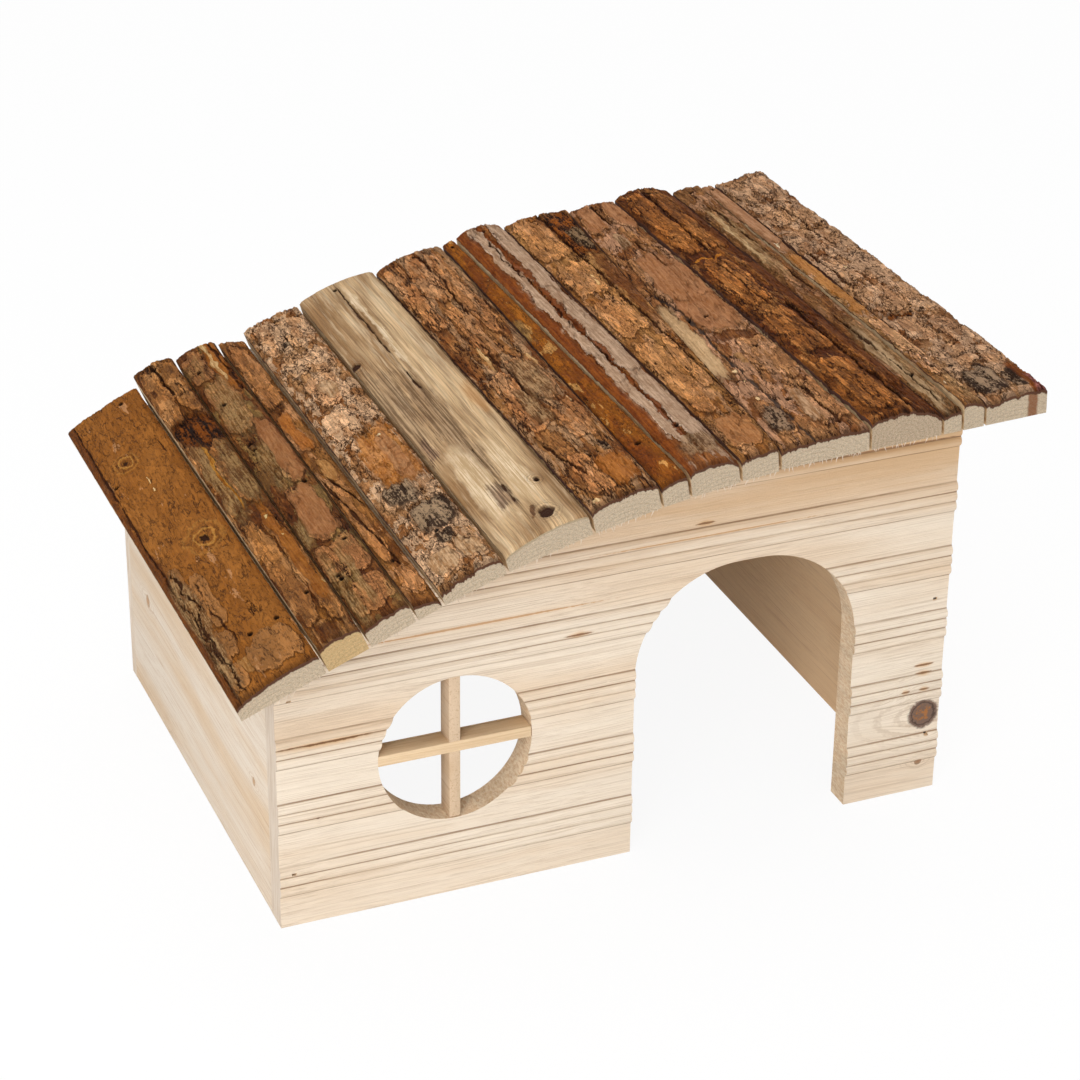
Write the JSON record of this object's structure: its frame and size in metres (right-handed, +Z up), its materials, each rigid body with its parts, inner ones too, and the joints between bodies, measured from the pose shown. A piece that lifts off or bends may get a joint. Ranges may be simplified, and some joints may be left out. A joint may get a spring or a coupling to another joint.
{
  "type": "hamster house",
  "caption": "Small-pet hideout of board walls with a reeded front, an arched doorway, a round window with a cross and an overhanging bent roof of bark-on slats.",
  "frame": {"origin": "on the ground, below the middle of the overall bounding box", "axes": "+X along the front towards the high end of the roof, +Y from the front to the back, +Z up"},
  "size_m": [0.2889, 0.2134, 0.1703],
  "materials": {
    "fir_board": "planed, unfinished",
    "fir_stick": "sawn, unfinished",
    "bark_slab": "bark on, sawn ends and underside",
    "debarked_slab": "debarked, unfinished",
    "brad_steel": "plain wire"
  },
  "bodies": {
    "root": {"front_panel": "fir_board", "back_panel": "fir_board", "left_side_panel": "fir_board", "right_side_panel": "fir_board", "window_bar_horizontal": "fir_stick", "window_bar_vertical": "fir_stick", "roof_slat_01": "bark_slab", "roof_slat_02": "bark_slab", "roof_slat_03": "bark_slab", "roof_slat_04": "bark_slab", "roof_slat_05": "bark_slab", "roof_slat_06": "debarked_slab", "roof_slat_07": "bark_slab", "roof_slat_08": "bark_slab", "roof_slat_09": "bark_slab", "roof_slat_10": "bark_slab", "roof_slat_11": "bark_slab", "roof_slat_12": "bark_slab", "roof_slat_13": "bark_slab", "roof_slat_14": "bark_slab", "roof_slat_15": "bark_slab", "wall_brads": "brad_steel", "roof_brads": "brad_steel"}
  },
  "joints": []
}
